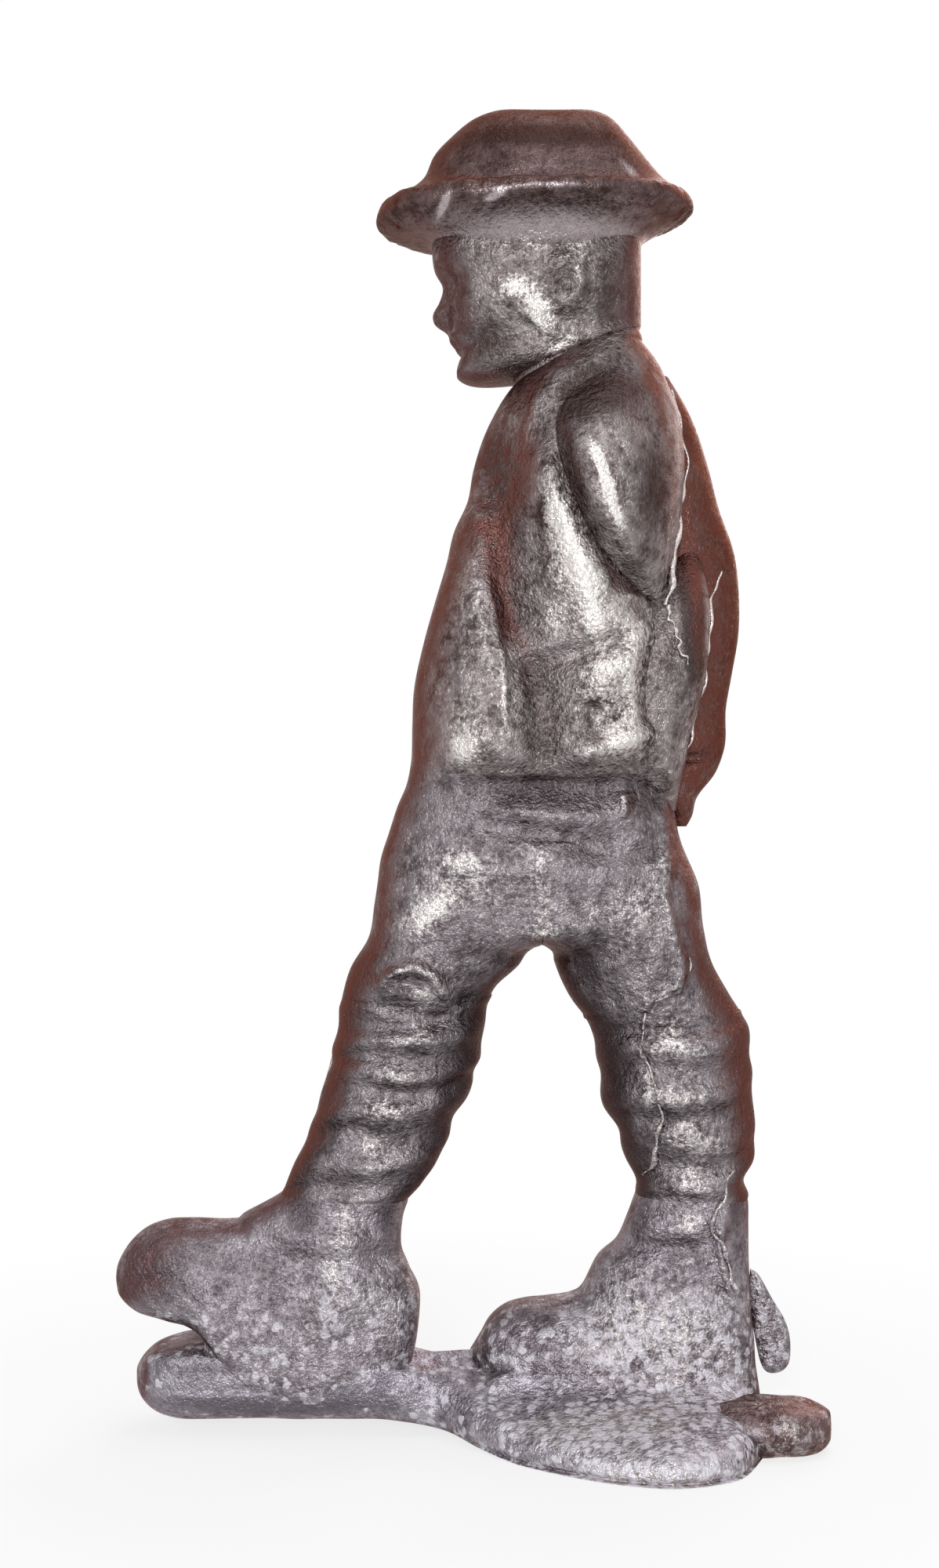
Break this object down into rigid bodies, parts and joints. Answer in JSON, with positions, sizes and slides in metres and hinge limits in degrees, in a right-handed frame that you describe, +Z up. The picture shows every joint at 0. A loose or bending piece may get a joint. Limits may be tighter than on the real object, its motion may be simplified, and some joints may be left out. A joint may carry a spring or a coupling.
{
  "type": "toy soldier figure",
  "caption": "Solid cast-metal toy soldier walking in profile, wide-brimmed helmet, tunic, breeches, wound puttees and boots, on its own low cast base.",
  "frame": {"origin": "centre of the figure's outline on the floor, under the parting plane", "axes": "+Z up through the helmet, -X the way the figure walks, -Y its left side"},
  "size_m": [0.0304, 0.0184, 0.0565],
  "materials": {
    "lead_base": "pale oxidised grey lead, mottled",
    "lead_boots": "oxidised grey lead",
    "lead_legs": "grey lead, worn bright on the crests",
    "lead_body": "grey lead, worn bright on the crests",
    "lead_head": "grey lead, worn bright on the crests",
    "lead_dark": "dark grey lead, smooth"
  },
  "bodies": {
    "root": {"base": "lead_base", "pour_gate_stub": "lead_dark", "front_boot": "lead_boots", "rear_boot": "lead_boots", "heel_flash": "lead_boots", "front_puttee": "lead_legs", "rear_puttee": "lead_legs", "shin_flash": "lead_legs", "front_breeches_leg": "lead_legs", "rear_breeches_leg": "lead_legs", "hip_band": "lead_dark", "tunic": "lead_body", "collar": "lead_body", "left_upper_sleeve": "lead_body", "left_forearm": "lead_body", "right_upper_sleeve": "lead_body", "right_forearm": "lead_body", "head": "lead_head", "helmet": "lead_dark"}
  },
  "joints": []
}
